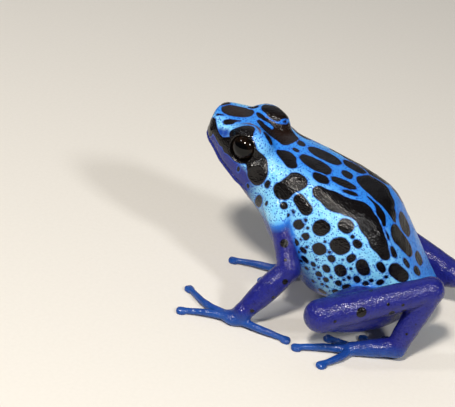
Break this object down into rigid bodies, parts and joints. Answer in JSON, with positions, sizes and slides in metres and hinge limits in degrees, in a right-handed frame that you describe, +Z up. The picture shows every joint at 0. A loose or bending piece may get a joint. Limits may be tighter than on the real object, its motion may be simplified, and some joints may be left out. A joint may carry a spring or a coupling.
{
  "type": "poison dart frog",
  "caption": "Life-size blue poison dart frog with black spots, sitting upright on its hands and feet, as a still museum model.",
  "frame": {"origin": "on the floor, under the middle of the frog's outer box", "axes": "+Z up, the frog looks along -Y, its left side is at +X"},
  "size_m": [0.0422, 0.0482, 0.031],
  "materials": {
    "body_skin": "moist granular skin, sky blue with near-black spots",
    "limb_skin": "moist granular skin, violet blue with a few small dark dots",
    "digit_skin": "moist smooth skin, azure blue",
    "eye": "wet and glossy, near black"
  },
  "bodies": {
    "root": {"head": "body_skin", "trunk": "body_skin", "eye_left": "eye", "eye_right": "eye", "upper_arm_left": "limb_skin", "forearm_left": "limb_skin", "hand_left": "digit_skin", "finger_left_1": "digit_skin", "finger_left_2": "digit_skin", "finger_left_3": "digit_skin", "finger_left_4": "digit_skin", "thigh_left": "limb_skin", "shank_left": "limb_skin", "tarsus_left": "limb_skin", "foot_left": "digit_skin", "toe_left_1": "digit_skin", "toe_left_2": "digit_skin", "toe_left_3": "digit_skin", "toe_left_4": "digit_skin", "toe_left_5": "digit_skin", "upper_arm_right": "limb_skin", "forearm_right": "limb_skin", "hand_right": "digit_skin", "finger_right_1": "digit_skin", "finger_right_2": "digit_skin", "finger_right_3": "digit_skin", "finger_right_4": "digit_skin", "thigh_right": "limb_skin", "shank_right": "limb_skin", "tarsus_right": "limb_skin", "foot_right": "digit_skin", "toe_right_1": "digit_skin", "toe_right_2": "digit_skin", "toe_right_3": "digit_skin", "toe_right_4": "digit_skin", "toe_right_5": "digit_skin"}
  },
  "joints": []
}
